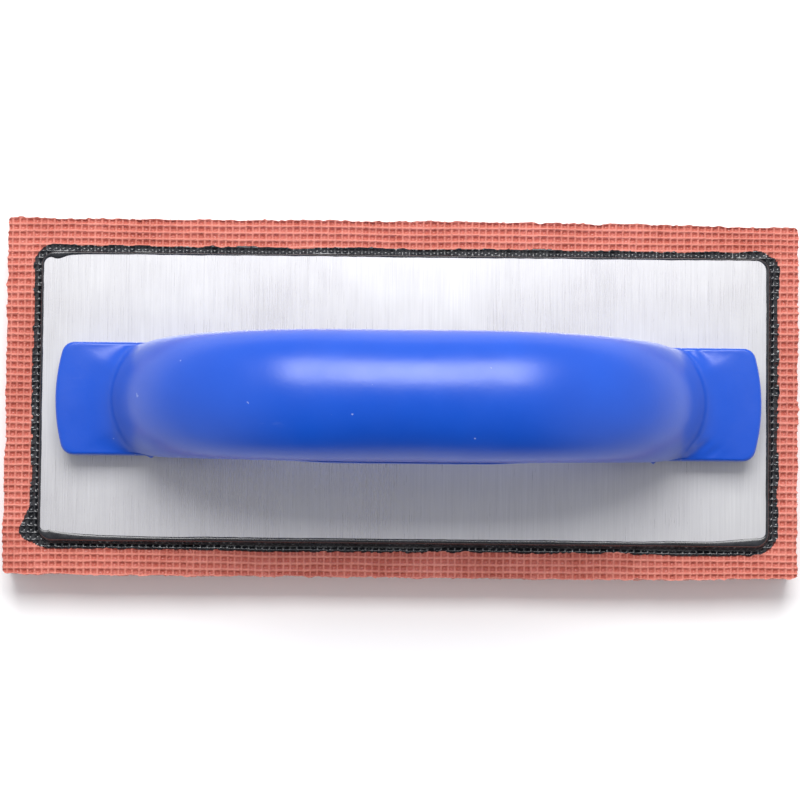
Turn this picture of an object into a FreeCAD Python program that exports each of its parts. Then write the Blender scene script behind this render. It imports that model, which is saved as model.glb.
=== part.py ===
import FreeCAD, Part
import math
import os
import Sketcher

from FreeCAD import Placement, Rotation, Vector

# A hand float with a sponge-rubber pad, an aluminium backing plate and a two-shell plastic handle.
#
# Row frame, in millimetres: X along the float, Y across it, +Z up from the working face to the grip.
# The origin is the centre of the pad's working face, which is what the float rests on.
# The handle's own shapes are built about its centre on the plate's top face, then placed.

DIMENSIONS = [
    # name, value in mm (or degrees), what it is
    ("pad_length", 228.6, "rubber pad along X, nine inches"),
    ("pad_width", 103.0, "rubber pad along Y, four inches as cut"),
    ("pad_thick", 16.0, "rubber pad, five eighths of an inch"),
    ("pad_corner", 1.2, "radius of the pad's upright corners"),
    ("coat_thick", 0.4, "dried contact adhesive between pad and plate"),
    ("coat_overhang", 3.0, "adhesive brushed past the plate's edge"),
    ("plate_length", 208.5, "aluminium plate along X"),
    ("plate_width", 82.0, "aluminium plate along Y"),
    ("plate_thick", 2.5, "aluminium plate"),
    ("plate_corner", 3.5, "radius of the plate's corners"),
    ("plate_shift_x", 0.7, "plate off the pad's centre along X"),
    ("bead_foot", 1.4, "bead past the plate's edge at its foot"),
    ("bead_lap", 0.8, "bead over the plate's rim"),
    ("bead_cap", 0.3, "bead above the plate's top face"),
    ("bead_lean", 16.0, "slope of the bead's side from upright, in degrees"),
    ("handle_shift_x", 1.9, "handle off the pad's centre along X"),
    ("handle_shift_y", -1.2, "handle off the pad's centre along Y"),
    ("leg_reach", 76.3, "centre of each leg on the plate, from the handle's centre"),
    ("leg_lean", 25.0, "lean of the legs towards the middle, in degrees"),
    ("grip_high", 43.0, "centre line of the grip above the plate"),
    ("bend_radius", 46.3, "bend from leg to grip, along the centre line"),
    ("leg_foot_half_wide", 16.0, "leg on the plate, across Y"),
    ("leg_foot_half_deep", 12.4, "leg on the plate, along X"),
    ("leg_half_wide", 16.2, "leg half way up, across Y"),
    ("leg_half_deep", 12.2, "leg half way up, along X"),
    ("leg_top_half_wide", 16.6, "section where the leg ends and the bend starts"),
    ("leg_top_half_deep", 12.2, "section where the leg ends and the bend starts"),
    ("low_bend_half_wide", 17.1, "section a third of the way round the bend"),
    ("low_bend_half_deep", 12.4, "section a third of the way round the bend"),
    ("high_bend_half_wide", 17.5, "section two thirds of the way round the bend"),
    ("high_bend_half_deep", 12.8, "section two thirds of the way round the bend"),
    ("grip_end_half_wide", 17.8, "grip where the bend ends"),
    ("grip_end_half_deep", 13.4, "grip where the bend ends"),
    ("grip_swell_reach", 13.0, "section between the bend and the middle"),
    ("grip_swell_half_wide", 17.9, "grip beside the middle"),
    ("grip_swell_half_deep", 14.4, "grip beside the middle"),
    ("grip_half_wide", 17.9, "grip in the middle"),
    ("grip_half_deep", 15.0, "grip in the middle"),
    ("seam_lift", 1.0, "seam between the shells, outside the centre line of the grip and legs"),
    ("wall", 3.0, "wall of both handle shells"),
    ("bulkhead_thick", 2.5, "stiffening wall across the grip"),
    ("bulkhead_pitch", 22.0, "from one bulkhead to the next"),
    ("foot_half_wide", 16.0, "foot across Y"),
    ("foot_high", 9.6, "foot beside the leg"),
    ("foot_centre", 70.5, "axis of the foot's hollow fillet, from the handle's centre"),
    ("foot_reach", 29.5, "foot beyond its axis, outwards"),
    ("foot_toe", 13.5, "foot beyond its axis, inwards"),
    ("foot_end_radius", 52.0, "bow of the foot's outer end"),
    ("foot_outer_corner", 3.6, "corners of the foot's outer end"),
    ("foot_inner_corner", 2.0, "corners of the foot's toe"),
    ("foot_neck", 11.0, "radius of the hollow fillet's top, where it meets the leaning leg"),
    ("foot_flare", 6.5, "hollow fillet from foot to leg"),
    ("foot_rim", 0.8, "rounding of the foot's upper rim"),
    ("outer_screw_reach", 92.0, "outer screws from the handle's centre"),
    ("inner_screw_reach", 67.0, "inner screws from the handle's centre"),
    ("boss_radius", 4.5, "boss for each inner screw"),
    ("boss_high", 10.5, "boss for each inner screw"),
    ("bore_depth", 8.2, "screw bores in the handle"),
    ("screw_length", 10.0, "countersunk screw, overall"),
    ("screw_core", 1.9, "radius of the screw's core"),
    ("thread_depth", 0.55, "height of the thread's ridge"),
    ("thread_pitch", 1.6, "coarse thread for plastic"),
    ("head_radius", 4.5, "screw head"),
    ("head_lip", 0.2, "upright rim of the screw head"),
    ("tip_length", 1.2, "blunt cone at the screw's end"),
    ("recess_arm", 2.4, "cross recess, from centre to the end of an arm"),
    ("recess_wide", 0.9, "cross recess, width of an arm"),
    ("recess_deep", 1.3, "cross recess"),
    ("hole_radius", 2.7, "clearance hole through the plate"),
    ("sink_radius", 4.7, "countersink at the plate's underside"),
    ("running_gap", 0.02, "air between a thread's crest and its bore"),
]

ORIGIN_POINT = (-1, 1)  # the sketch's origin, as constraints name it
SPARE = 1.0  # how far a cutting shape runs past what it cuts
WIDE = 60.0  # wider than the handle, for a shape that cuts right across it

SCREW_REACHES = {
    "screw_left_outer": "0 - outer_screw_reach",
    "screw_left_inner": "0 - inner_screw_reach",
    "screw_right_inner": "inner_screw_reach",
    "screw_right_outer": "outer_screw_reach",
}

# Where the leg's centre line meets the bend, and the bend's own centre
LEG_TOP_Z = "(grip_high - bend_radius + bend_radius * sin(leg_lean * 1 deg))"
LEG_TOP_X = f"(leg_reach - {LEG_TOP_Z} * tan(leg_lean * 1 deg))"
BEND_Z = "(grip_high - bend_radius)"
BEND_X = f"({LEG_TOP_X} - bend_radius * cos(leg_lean * 1 deg))"

doc = FreeCAD.newDocument("hand_float")
sheet = doc.addObject("Spreadsheet::Sheet", "dimensions")


def fill_sheet():
    """Writes the driving dimensions, one row each."""
    for row, (name, value, note) in enumerate(DIMENSIONS, start=1):
        sheet.set(f"A{row}", name)
        sheet.set(f"B{row}", str(value))
        sheet.set(f"C{row}", note)
        sheet.setAlias(f"B{row}", name)
    doc.recompute()


def size(name):
    """A driving dimension as a number."""
    return float(sheet.get(name))


def cells(expression):
    """An expression over the sheet's names, as other objects have to write it."""
    names = sorted((row[0] for row in DIMENSIONS), key=len, reverse=True)
    out = ""
    word = ""
    for letter in expression + " ":
        if letter.isalnum() or letter == "_":
            word += letter
            continue
        out += f"dimensions.{word}" if word in names else word
        out += letter
        word = ""
    return out.strip()


def number(expression):
    """The value of an expression over the sheet's names."""
    return float(sheet.evalExpression(cells(expression)))


def bind(item, **properties):
    """Binds properties of an object to expressions. A double underscore stands for a dot."""
    for path, expression in properties.items():
        item.setExpression(path.replace("__", "."), cells(expression))
    return item


# ---- sketches ----


def new_body(label):
    body = doc.addObject("PartDesign::Body", label)
    body.Label = label
    return body


def new_sketch(body, name, role="XY_Plane"):
    """A sketch on one of its own body's origin planes."""
    sketch = body.newObject("Sketcher::SketchObject", name)
    plane = [f for f in body.Origin.OriginFeatures if f.Role == role][0]
    sketch.AttachmentSupport = [(plane, "")]
    sketch.MapMode = "FlatFace"
    return sketch


def constrain(sketch, kind, *where, expression=None):
    """Adds a constraint, with its value bound to an expression if there is one."""
    if expression is None:
        return sketch.addConstraint(Sketcher.Constraint(kind, *where))
    index = sketch.addConstraint(Sketcher.Constraint(kind, *where, number(expression)))
    sketch.setExpression(f"Constraints[{index}]", cells(expression))
    return index


def add_polygon(sketch, points):
    """A closed outline of straight lines, each corner held to two expressions."""
    corners = [Vector(number(x), number(y), 0) for x, y in points]
    first = sketch.GeometryCount
    for start, end in zip(corners, corners[1:] + corners[:1]):
        sketch.addGeometry(Part.LineSegment(start, end))
    count = len(points)
    for k, (x, y) in enumerate(points):
        before = first + (k - 1) % count
        constrain(sketch, "Coincident", before, 2, first + k, 1)
        hold_point(sketch, first + k, 1, x, y)


def hold_point(sketch, geometry, end, x, y):
    """Holds a point at two expressions, along the sketch's X and Y."""
    for direction, expression in (("DistanceX", x), ("DistanceY", y)):
        constrain(sketch, direction, *ORIGIN_POINT, geometry, end, expression=expression)


def add_rounded_rectangle(sketch, length, width, radius):
    """A rectangle centred on the sketch's origin, with round corners."""
    half_x = number(length) / 2
    half_y = number(width) / 2
    r = number(radius)
    quarter = math.pi / 2
    corners = [(1, 1), (-1, 1), (-1, -1), (1, -1)]
    for k, (sx, sy) in enumerate(corners):
        centre = Vector(sx * (half_x - r), sy * (half_y - r), 0)
        circle = Part.Circle(centre, Vector(0, 0, 1), r)
        sketch.addGeometry(Part.ArcOfCircle(circle, k * quarter, (k + 1) * quarter))
    for k in range(4):
        start = sketch.Geometry[k].EndPoint
        end = sketch.Geometry[(k + 1) % 4].StartPoint
        sketch.addGeometry(Part.LineSegment(start, end))
    for k in range(4):
        constrain(sketch, "Tangent", k, 2, 4 + k, 1)
        constrain(sketch, "Tangent", 4 + k, 2, (k + 1) % 4, 1)
        constrain(sketch, "Horizontal" if k % 2 == 0 else "Vertical", 4 + k)
    for k in range(1, 4):
        constrain(sketch, "Equal", 0, k)
    constrain(sketch, "Symmetric", 0, 3, 2, 3, *ORIGIN_POINT)
    constrain(sketch, "Radius", 0, expression=radius)
    constrain(sketch, "DistanceX", 2, 3, 0, 3, expression=f"{length} - 2 * ({radius})")
    constrain(sketch, "DistanceY", 2, 3, 0, 3, expression=f"{width} - 2 * ({radius})")


def add_circle(sketch, x, y, radius):
    """A circle at two expressions."""
    circle = Part.Circle(Vector(number(x), number(y), 0), Vector(0, 0, 1), number(radius))
    index = sketch.addGeometry(circle)
    hold_point(sketch, index, 3, x, y)
    constrain(sketch, "Radius", index, expression=radius)


# ---- features ----


def add_pad(body, sketch, length, name="Pad", midplane=False, taper=None):
    pad = body.newObject("PartDesign::Pad", name)
    pad.Profile = sketch
    pad.Midplane = midplane
    bind(pad, Length=length)
    if taper is not None:
        bind(pad, TaperAngle=taper)
    doc.recompute()
    return pad


def add_pocket(body, sketch, name, length=None):
    """A pocket along +Z from its sketch: to a depth, or through everything."""
    before = body.Shape.Volume
    pocket = body.newObject("PartDesign::Pocket", name)
    pocket.Profile = sketch
    pocket.Reversed = True
    if length is None:
        pocket.Type = "ThroughAll"
    else:
        bind(pocket, Length=length)
    doc.recompute()
    if body.Shape.Volume >= before:
        raise RuntimeError(f"{name} cut nothing")
    return pocket


def add_turned(body, sketch, kind, name):
    """A Revolution or Groove once round the sketch's upright axis."""
    turned = body.newObject(f"PartDesign::{kind}", name)
    turned.Profile = sketch
    turned.ReferenceAxis = (sketch, ["V_Axis"])
    turned.Angle = 360
    doc.recompute()
    return turned


def dress(body, base, kind, name, amount, chosen):
    """A Fillet or Chamfer on the edges that chosen() picks."""
    picked = [f"Edge{k + 1}" for k, edge in enumerate(base.Shape.Edges) if chosen(edge)]
    if not picked:
        raise RuntimeError(f"{name} found no edges")
    feature = body.newObject(f"PartDesign::{kind}", name)
    feature.Base = (base, picked)
    bind(feature, **{"Radius" if kind == "Fillet" else "Size": amount})
    doc.recompute()
    return feature


def is_upright(edge):
    if not isinstance(edge.Curve, Part.Line):
        return False
    return abs(edge.Curve.Direction.z) > 0.999


def lies_at(edge, z):
    box = edge.BoundBox
    return abs(box.ZMin - z) < 1e-4 and abs(box.ZMax - z) < 1e-4


def combine(kind, label, *shapes):
    """A boolean of two objects, or a MultiFuse of any number."""
    item = doc.addObject(f"Part::{kind}", label)
    item.Label = label
    if kind == "MultiFuse":
        item.Shapes = list(shapes)
    else:
        item.Base, item.Tool = shapes
    doc.recompute()
    return item


# ---- pad, adhesive and plate ----


def make_slab(label, length, width, thick, corner):
    """A flat slab with round corners, standing on its own origin."""
    body = new_body(label)
    outline = new_sketch(body, f"{label}_outline")
    add_rounded_rectangle(outline, length, width, corner)
    slab = add_pad(body, outline, thick, f"{label}_slab")
    return body, slab


def make_rubber_pad():
    body, _ = make_slab("rubber_pad", "pad_length", "pad_width", "pad_thick", "pad_corner")
    return body


def make_adhesive_coat():
    """The thin film that the plate is bonded with, brushed a little past its edge."""
    body, _ = make_slab(
        "adhesive_coat",
        "plate_length + 2 * coat_overhang",
        "plate_width + 2 * coat_overhang",
        "coat_thick",
        "plate_corner + coat_overhang",
    )
    return bind(body, Placement__Base__x="plate_shift_x", Placement__Base__z="pad_thick")


def make_backing_plate():
    """Sheet aluminium with four countersunk holes for the screws from below."""
    body, slab = make_slab("backing_plate", "plate_length", "plate_width", "plate_thick", "plate_corner")
    holes = new_sketch(body, "screw_holes")
    for reach in SCREW_REACHES.values():
        add_circle(holes, f"{reach} + handle_shift_x - plate_shift_x", "handle_shift_y", "hole_radius")
    drilled = add_pocket(body, holes, "drilled")
    dress(
        body,
        drilled,
        "Chamfer",
        "countersunk",
        "sink_radius - hole_radius",
        lambda edge: lies_at(edge, 0) and is_hole_rim(edge),
    )
    return bind(
        body,
        Placement__Base__x="plate_shift_x",
        Placement__Base__z="pad_thick + coat_thick",
    )


def is_hole_rim(edge):
    return isinstance(edge.Curve, Part.Circle) and abs(edge.Curve.Radius - size("hole_radius")) < 1e-4


def make_adhesive_bead():
    """Squeezed-out adhesive, smoothed into a bead that rises up the plate's edge and laps its rim."""
    body = new_body("adhesive_bead")
    foot = new_sketch(body, "bead_outline")
    add_rounded_rectangle(
        foot,
        "plate_length + 2 * bead_foot",
        "plate_width + 2 * bead_foot",
        "plate_corner + bead_foot",
    )
    add_pad(body, foot, "plate_thick + bead_cap", "bead_block", taper="0 - bead_lean")
    seat = new_sketch(body, "plate_seat")
    add_rounded_rectangle(seat, "plate_length", "plate_width", "plate_corner")
    add_pocket(body, seat, "plate_pocket", "plate_thick")
    window = new_sketch(body, "window_outline")
    add_rounded_rectangle(
        window,
        "plate_length - 2 * bead_lap",
        "plate_width - 2 * bead_lap",
        "plate_corner - bead_lap",
    )
    add_pocket(body, window, "window")
    return bind(
        body,
        Placement__Base__x="plate_shift_x",
        Placement__Base__z="pad_thick + coat_thick",
    )


# ---- screws ----


def make_screw(label, reach):
    """A countersunk screw for plastic, head down and flush with the plate's underside."""
    body = new_body(label)
    profile = new_sketch(body, f"{label}_profile", "XZ_Plane")
    cone = "head_lip + head_radius - screw_core"
    add_polygon(
        profile,
        [
            ("0", "0"),
            ("head_radius", "0"),
            ("head_radius", "head_lip"),
            ("screw_core", cone),
            ("screw_core", "screw_length - tip_length"),
            ("screw_core / 2", "screw_length"),
            ("0", "screw_length"),
        ],
    )
    add_turned(body, profile, "Revolution", f"{label}_blank")
    ridge = new_sketch(body, f"{label}_ridge", "XZ_Plane")
    start = f"({cone} + thread_pitch / 2)"
    add_polygon(
        ridge,
        [
            ("screw_core - thread_depth / 4", f"{start} - thread_pitch / 3"),
            ("screw_core + thread_depth", start),
            ("screw_core - thread_depth / 4", f"{start} + thread_pitch / 3"),
        ],
    )
    thread = body.newObject("PartDesign::AdditiveHelix", f"{label}_thread")
    thread.Profile = ridge
    thread.ReferenceAxis = (ridge, ["V_Axis"])
    thread.Mode = "pitch-height-angle"
    bind(thread, Pitch="thread_pitch", Height=f"screw_length - tip_length - {start} - thread_pitch / 3")
    doc.recompute()
    recess = new_sketch(body, f"{label}_recess")
    arm = "recess_arm"
    half = "recess_wide / 2"
    corners = [(arm, half), (half, half), (half, arm)]
    outline = []
    for turn in range(4):
        for x, y in corners:
            outline.append([(x, y), (f"0 - {y}", x), (f"0 - {x}", f"0 - {y}"), (y, f"0 - {x}")][turn])
    add_polygon(recess, outline)
    add_pocket(body, recess, f"{label}_cross", "recess_deep")
    return bind(
        body,
        Placement__Base__x=f"{reach} + handle_shift_x",
        Placement__Base__y="handle_shift_y",
        Placement__Base__z="pad_thick + coat_thick",
    )


# ---- handle ----


def section(name, turn, x, z, half_wide, half_deep):
    """An ellipse across the handle, turned with it: 0 faces upwards, 90 along +X and 180 downwards."""
    ellipse = doc.addObject("Part::Ellipse", name)
    ellipse.Placement = Placement(
        Vector(0, 0, 0), Rotation(Vector(0, 1, 0), turn) * Rotation(Vector(0, 0, 1), 90)
    )
    return bind(
        ellipse,
        MajorRadius=half_wide,
        MinorRadius=half_deep,
        Placement__Base__x=x,
        Placement__Base__z=z,
    )


def half_sections():
    """Turn, distance from the middle, height and name of each section, from a foot to the grip's middle."""
    lean = number("leg_lean")
    rows = [
        (0, "leg_reach", "0", "leg_foot"),
        (lean / 2, f"(leg_reach + {LEG_TOP_X}) / 2", f"{LEG_TOP_Z} / 2", "leg"),
        (lean, LEG_TOP_X, LEG_TOP_Z, "leg_top"),
    ]
    for share, name in ((1 / 3, "low_bend"), (2 / 3, "high_bend")):
        turn = lean + (90 - lean) * share
        x = f"{BEND_X} + bend_radius * cos({turn} deg)"
        rows.append((turn, x, f"{BEND_Z} + bend_radius * sin({turn} deg)", name))
    rows.append((90, BEND_X, "grip_high", "grip_end"))
    rows.append((90, "grip_swell_reach", "grip_high", "grip_swell"))
    rows.append((90, "0", "grip_high", "grip"))
    return rows


def make_bar(label, inset):
    """The bent bar from foot to foot, with its sections smaller by inset all round."""
    left = half_sections()
    right = [(180 - turn, x, z, name) for turn, x, z, name in reversed(left[:-1])]
    sections = []
    for side, rows in (("0 - ", left), ("", right)):
        for turn, x, z, name in rows:
            drop = f"{z} - {inset}" if z == "0" else z
            sections.append(
                section(
                    f"{label}_section",
                    turn,
                    f"{side}({x})",
                    drop,
                    f"{name}_half_wide - {inset}",
                    f"{name}_half_deep - {inset}",
                )
            )
    loft = doc.addObject("Part::Loft", label)
    loft.Label = label
    loft.Sections = sections
    loft.Solid = True
    doc.recompute()
    return loft


def make_foot(label, turn, side):
    """A foot under one leg: a flat slab with a bowed outer end and a hollow fillet up to the leg."""
    body = new_body(label)
    outline = new_sketch(body, f"{label}_outline")
    add_foot_outline(outline)
    block = add_pad(body, outline, "foot_high + foot_flare", f"{label}_block")
    outer = dress(
        body,
        block,
        "Fillet",
        f"{label}_outer_corners",
        "foot_outer_corner",
        lambda edge: is_upright(edge) and edge.BoundBox.XMax < 0,
    )
    rounded = dress(
        body,
        outer,
        "Fillet",
        f"{label}_inner_corners",
        "foot_inner_corner",
        lambda edge: is_upright(edge) and abs(edge.BoundBox.XMax - size("foot_toe")) < 1e-4,
    )
    hollow = new_sketch(body, f"{label}_hollow", "XZ_Plane")
    add_hollow_profile(hollow)
    before = rounded.Shape.Volume
    groove = add_turned(body, hollow, "Groove", f"{label}_fillet")
    if groove.Shape.Volume >= before:
        raise RuntimeError(f"{label} has no hollow fillet")
    dress(body, groove, "Fillet", f"{label}_rim", "foot_rim", is_shelf_rim)
    body.Placement.Rotation = Rotation(Vector(0, 0, 1), turn)
    return bind(body, Placement__Base__x=f"{side}foot_centre")


def is_shelf_rim(edge):
    """The outer edge of the foot's flat shelf, and not the circle where the hollow fillet starts."""
    if not lies_at(edge, size("foot_high")):
        return False
    start = size("foot_neck") + size("foot_flare")
    return not isinstance(edge.Curve, Part.Circle) or abs(edge.Curve.Radius - start) > 1e-4


def add_foot_outline(sketch):
    """Plan of the left foot about its fillet's axis: bowed at the outer end, square at the toe."""
    reach = number("foot_reach")
    half = number("foot_half_wide")
    radius = number("foot_end_radius")
    toe = number("foot_toe")
    bow = radius - math.sqrt(radius**2 - half**2)
    shoulder = bow - reach
    sketch.addGeometry(Part.LineSegment(Vector(toe, half, 0), Vector(shoulder, half, 0)))
    arc = Part.Arc(Vector(shoulder, half, 0), Vector(-reach, 0, 0), Vector(shoulder, -half, 0))
    sketch.addGeometry(arc)
    sketch.addGeometry(Part.LineSegment(Vector(shoulder, -half, 0), Vector(toe, -half, 0)))
    sketch.addGeometry(Part.LineSegment(Vector(toe, -half, 0), Vector(toe, half, 0)))
    constrain(sketch, "Coincident", 0, 2, 1, 1)
    constrain(sketch, "Coincident", 1, 2, 2, 1)
    constrain(sketch, "Coincident", 2, 2, 3, 1)
    constrain(sketch, "Coincident", 3, 2, 0, 1)
    hold_point(sketch, 0, 1, "foot_toe", "foot_half_wide")
    hold_point(sketch, 3, 1, "foot_toe", "0 - foot_half_wide")
    constrain(sketch, "Horizontal", 0)
    constrain(sketch, "Horizontal", 2)
    hold_point(sketch, 1, 3, "foot_end_radius - foot_reach", "0")
    constrain(sketch, "Radius", 1, expression="foot_end_radius")


def add_hollow_profile(sketch):
    """What is turned away above the foot: outside a quarter circle that runs from the foot up to the leg."""
    neck = number("foot_neck")
    low = number("foot_high")
    flare = number("foot_flare")
    top = low + flare
    far = 2 * (neck + flare)
    points = [Vector(neck + flare, low, 0), Vector(far, low, 0), Vector(far, top + SPARE, 0)]
    points += [Vector(neck, top + SPARE, 0), Vector(neck, top, 0)]
    for start, end in zip(points, points[1:]):
        sketch.addGeometry(Part.LineSegment(start, end))
    centre = Vector(neck + flare, top, 0)
    middle = centre + Vector(-flare * math.sqrt(0.5), -flare * math.sqrt(0.5), 0)
    sketch.addGeometry(Part.Arc(points[4], middle, points[0]))
    for k in range(3):
        constrain(sketch, "Coincident", k, 2, k + 1, 1)
    hold_point(sketch, 0, 1, "foot_neck + foot_flare", "foot_high")
    hold_point(sketch, 1, 1, "2 * (foot_neck + foot_flare)", "foot_high")
    hold_point(sketch, 2, 1, "2 * (foot_neck + foot_flare)", f"foot_high + foot_flare + {SPARE}")
    hold_point(sketch, 3, 1, "foot_neck", f"foot_high + foot_flare + {SPARE}")
    hold_point(sketch, 3, 2, "foot_neck", "foot_high + foot_flare")
    join_arc(sketch, 4, 3, 0)
    constrain(sketch, "Radius", 4, expression="foot_flare")


def join_arc(sketch, arc, line_a, line_b):
    """Joins an arc's two ends to the end of one line and the start of another, whichever way it runs."""
    start = sketch.getPoint(arc, 1)
    meets_a = (start - sketch.getPoint(line_a, 2)).Length < 1e-6
    constrain(sketch, "Coincident", arc, 1 if meets_a else 2, line_a, 2)
    constrain(sketch, "Coincident", arc, 2 if meets_a else 1, line_b, 1)


def make_seam_core():
    """Everything inside the seam line, right across the handle. It divides the two shells.

    The seam runs outside the bar's centre line by seam_lift: up the legs, round the bends and along
    the grip.
    """
    body = new_body("seam_core")
    sketch = new_sketch(body, "seam_line", "XZ_Plane")
    low = f"(leg_reach + {SPARE} * tan(leg_lean * 1 deg) + seam_lift / cos(leg_lean * 1 deg))"
    leg_top = f"({LEG_TOP_X} + seam_lift * cos(leg_lean * 1 deg))"
    right = [(low, f"0 - {SPARE}"), (leg_top, f"{LEG_TOP_Z} + seam_lift * sin(leg_lean * 1 deg)")]
    left = [(f"0 - {x}", z) for x, z in right]
    grip = [(f"0 - {BEND_X}", "grip_high + seam_lift"), (BEND_X, "grip_high + seam_lift")]
    lines = [left, grip, right[::-1], [right[0], left[0]]]
    for start, end in lines:
        sketch.addGeometry(Part.LineSegment(sketch_point(start), sketch_point(end)))
    turn = math.radians((90 + number("leg_lean")) / 2)
    radius = number("bend_radius + seam_lift")
    middle_x = number(BEND_X) + radius * math.cos(turn)
    middle_z = number(BEND_Z) + radius * math.sin(turn)
    for side, leg, end in ((-1, left[1], grip[0]), (1, right[1], grip[1])):
        middle = Vector(side * middle_x, middle_z, 0)
        sketch.addGeometry(Part.Arc(sketch_point(leg), middle, sketch_point(end)))
    constrain(sketch, "Coincident", 2, 2, 3, 1)
    constrain(sketch, "Coincident", 3, 2, 0, 1)
    join_arc(sketch, 4, 0, 1)
    join_arc(sketch, 5, 1, 2)
    for line, (start, end) in enumerate(lines):
        hold_point(sketch, line, 1, *start)
        if line < 2:
            hold_point(sketch, line, 2, *end)
    constrain(sketch, "Radius", 4, expression="bend_radius + seam_lift")
    constrain(sketch, "Radius", 5, expression="bend_radius + seam_lift")
    add_pad(body, sketch, f"{WIDE}", "seam_block", midplane=True)
    return body


def sketch_point(place):
    """A point in a sketch from two expressions."""
    return Vector(number(place[0]), number(place[1]), 0)


def make_cylinder(label, x, radius, low, high):
    """An upright cylinder on the handle's centre plane."""
    cylinder = doc.addObject("Part::Cylinder", label)
    return bind(
        cylinder,
        Radius=radius,
        Height=f"{high} - ({low})",
        Placement__Base__x=x,
        Placement__Base__z=low,
    )


def make_bulkhead(index):
    """A thin wall across the grip, wide and tall enough to fill it."""
    box = doc.addObject("Part::Box", "bulkhead")
    return bind(
        box,
        Length="bulkhead_thick",
        Width=f"{WIDE}",
        Height=f"{WIDE}",
        Placement__Base__x=f"{index} * bulkhead_pitch - bulkhead_thick / 2",
        Placement__Base__y=f"0 - {WIDE} / 2",
    )


def make_bores(reach):
    """A blind bore for one screw in each foot."""
    name = f"{reach}_bore"
    radius = "screw_core + thread_depth + running_gap"
    low = f"0 - {SPARE}"
    return [make_cylinder(name, f"{side}{reach}", radius, low, "bore_depth") for side in ("0 - ", "")]


def make_handle():
    """The outer shell with both feet, and the inner shell that lines the finger opening with both toes."""
    bar = make_bar("handle_bar", "0")
    feet = [make_foot("left_foot", 0, "0 - "), make_foot("right_foot", 180, "")]
    form = combine("MultiFuse", "handle_form", bar, *feet)
    hollow = make_bar("handle_hollow", "wall")
    fillings = [make_bulkhead(index) for index in range(-2, 3)]
    for side in ("0 - ", ""):
        x = f"{side}inner_screw_reach"
        fillings.append(make_cylinder("screw_boss", x, "boss_radius", f"0 - {SPARE}", "boss_high"))
    kept = combine("MultiFuse", "handle_webs", *fillings)
    cavity = combine("Cut", "handle_cavity", hollow, kept)
    core = make_seam_core()
    shells = []
    for label, kind, reach in (
        ("handle_upper_shell", "Cut", "outer_screw_reach"),
        ("handle_lower_shell", "Common", "inner_screw_reach"),
    ):
        half = combine(kind, f"{label}_form", form, core)
        removed = combine("MultiFuse", f"{label}_voids", cavity, *make_bores(reach))
        shell = combine("Cut", label, half, removed)
        shells.append(
            bind(
                shell,
                Placement__Base__x="handle_shift_x",
                Placement__Base__y="handle_shift_y",
                Placement__Base__z="pad_thick + coat_thick + plate_thick",
            )
        )
    return shells


# ---- build, test and write ----


def test_document():
    """Stops if any object failed to compute, which FreeCAD doesn't do by itself."""
    for item in doc.Objects:
        if "Invalid" in item.State or "Error" in item.State:
            raise RuntimeError(f"{item.Label} failed: {item.State}")


def write_parts(parts):
    """Writes each sub-part's shape to its own STEP file."""
    os.makedirs("parts", exist_ok=True)
    for part in parts:
        shape = part.Shape
        if shape.isNull() or not shape.isValid() or len(shape.Solids) != 1:
            raise RuntimeError(f"{part.Label} isn't one valid solid")
        print(f"{part.Label}: {shape.Volume / 1000:.2f} cm3")
        shape.exportStep(f"parts/{part.Label}.step")


fill_sheet()
PARTS = [
    make_rubber_pad(),
    make_adhesive_coat(),
    make_backing_plate(),
    make_adhesive_bead(),
]
for screw_label, screw_reach in SCREW_REACHES.items():
    PARTS.append(make_screw(screw_label, screw_reach))
PARTS += make_handle()
doc.recompute()
test_document()
write_parts(PARTS)
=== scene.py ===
import math

import bpy
import numpy as np
from mathutils import Matrix, Vector


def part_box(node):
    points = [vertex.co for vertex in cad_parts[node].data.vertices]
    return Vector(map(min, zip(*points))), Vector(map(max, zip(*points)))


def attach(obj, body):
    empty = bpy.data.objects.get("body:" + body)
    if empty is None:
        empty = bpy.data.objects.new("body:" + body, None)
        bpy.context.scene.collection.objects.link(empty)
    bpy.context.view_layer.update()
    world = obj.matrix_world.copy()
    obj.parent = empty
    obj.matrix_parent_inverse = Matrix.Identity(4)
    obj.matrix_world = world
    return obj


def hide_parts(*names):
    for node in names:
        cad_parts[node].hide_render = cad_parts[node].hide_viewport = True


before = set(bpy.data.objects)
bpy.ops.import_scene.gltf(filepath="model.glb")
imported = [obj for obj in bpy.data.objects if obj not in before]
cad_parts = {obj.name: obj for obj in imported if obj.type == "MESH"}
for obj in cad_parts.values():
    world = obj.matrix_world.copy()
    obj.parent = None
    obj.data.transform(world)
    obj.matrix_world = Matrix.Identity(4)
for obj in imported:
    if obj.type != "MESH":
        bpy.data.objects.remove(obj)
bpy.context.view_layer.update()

# The float lies on its pad: X along it, Y across it, +Z up, and it is seen from above its -Y side.
# The object's lengths are millimetres, and are scaled to metres where its meshes are made. The depths of
# bumps, and the places and sizes of the floor, the lamp and the camera, are in metres.
MM = 0.001

# The moulded pattern on the pad's upper face
CELL = 1.98  # from one rib to the next
X_LINES = (0.0, 0.10, 0.22, 0.5, 0.78, 0.90)  # grid lines in a cell, from one rib's middle to the next
Y_LINES = (0.0, 0.14, 0.27, 0.5, 0.73, 0.86)
CELL_DEPTH = 0.66
CROSS_RIB = (0.05, 0.24)  # crest and foot of a rib along Y, in cells from its middle
LONG_RIB = (0.08, 0.29)  # the same for a rib along X
PATTERN_DROP = 0.10  # the tops of the ribs lie about this far below the pad's top
CROSS_RIB_DROP = 0.20  # the ribs along Y are lower than those along X by this share of a cell's depth
PATTERN_WOBBLE = 0.24
WOBBLE_FADE = 2.5  # the wobble fades out over this distance from a side
HIDDEN_DEPTH = 1.2  # how far the pad's face lies down under the plate
PAD_UNDER_PLATE = 0.4  # how far in from the plate's edge that starts

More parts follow.
